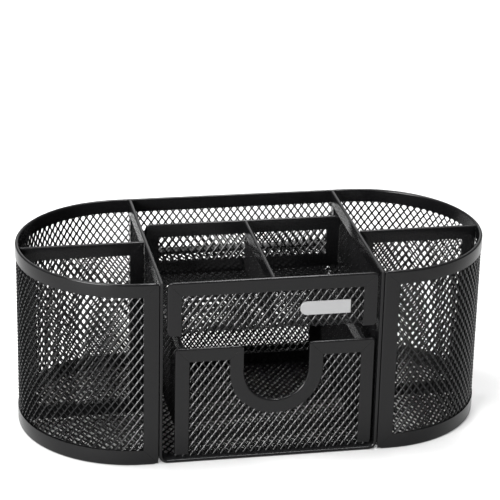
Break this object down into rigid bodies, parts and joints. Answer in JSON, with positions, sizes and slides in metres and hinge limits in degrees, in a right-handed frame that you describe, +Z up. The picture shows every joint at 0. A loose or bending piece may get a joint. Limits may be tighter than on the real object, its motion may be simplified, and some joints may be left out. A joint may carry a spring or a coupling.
{
  "type": "mesh desk organizer",
  "caption": "Oval black steel-mesh desk organizer with divided pen cups, a shallow tray, a rear slot and a pull-out note drawer.",
  "frame": {"origin": "middle of the footprint, on the surface that the organizer stands on", "axes": "+X to the right along the long side, +Y to the back, +Z up; the drawer pulls out towards -Y"},
  "size_m": [0.237, 0.114, 0.0965],
  "materials": {
    "mesh": "semi-gloss black powder coat on expanded steel mesh",
    "edging": "semi-gloss black powder coat on folded sheet steel",
    "plate": "satin silver, blank"
  },
  "bodies": {
    "organizer": {"badge_plate": "plate", "bay_front_trim": "edging", "bay_liner_mesh": "mesh", "bay_rear_trim": "edging", "left_cup_floor": "mesh", "left_divider_rim": "edging", "left_front_post": "edging", "left_partition_frame": "edging", "left_partition_mesh": "mesh", "outer_bottom_rim": "edging", "outer_top_rim": "edging", "outer_wall_mesh": "mesh", "right_cup_floor": "mesh", "right_divider_rim": "edging", "right_front_post": "edging", "right_partition_frame": "edging", "right_partition_mesh": "mesh", "slot_floor_frame": "edging", "slot_floor_mesh": "mesh", "tray_back_frame": "edging", "tray_back_mesh": "mesh", "tray_front_frame": "edging", "tray_partition_mesh": "mesh", "tray_partition_rim": "edging", "tray_sheet_mesh": "mesh"},
    "drawer": {"drawer_back_frame": "edging", "drawer_back_mesh": "mesh", "drawer_front_frame": "edging", "drawer_front_mesh": "mesh", "drawer_left_rim": "edging", "drawer_notch_trim": "edging", "drawer_pan_mesh": "mesh", "drawer_right_rim": "edging"}
  },
  "joints": [
    {"name": "drawer_slide", "type": "slide", "parent": "organizer", "child": "drawer", "axis": [0, -1, 0], "range_m": [0, 0.08]}
  ]
}
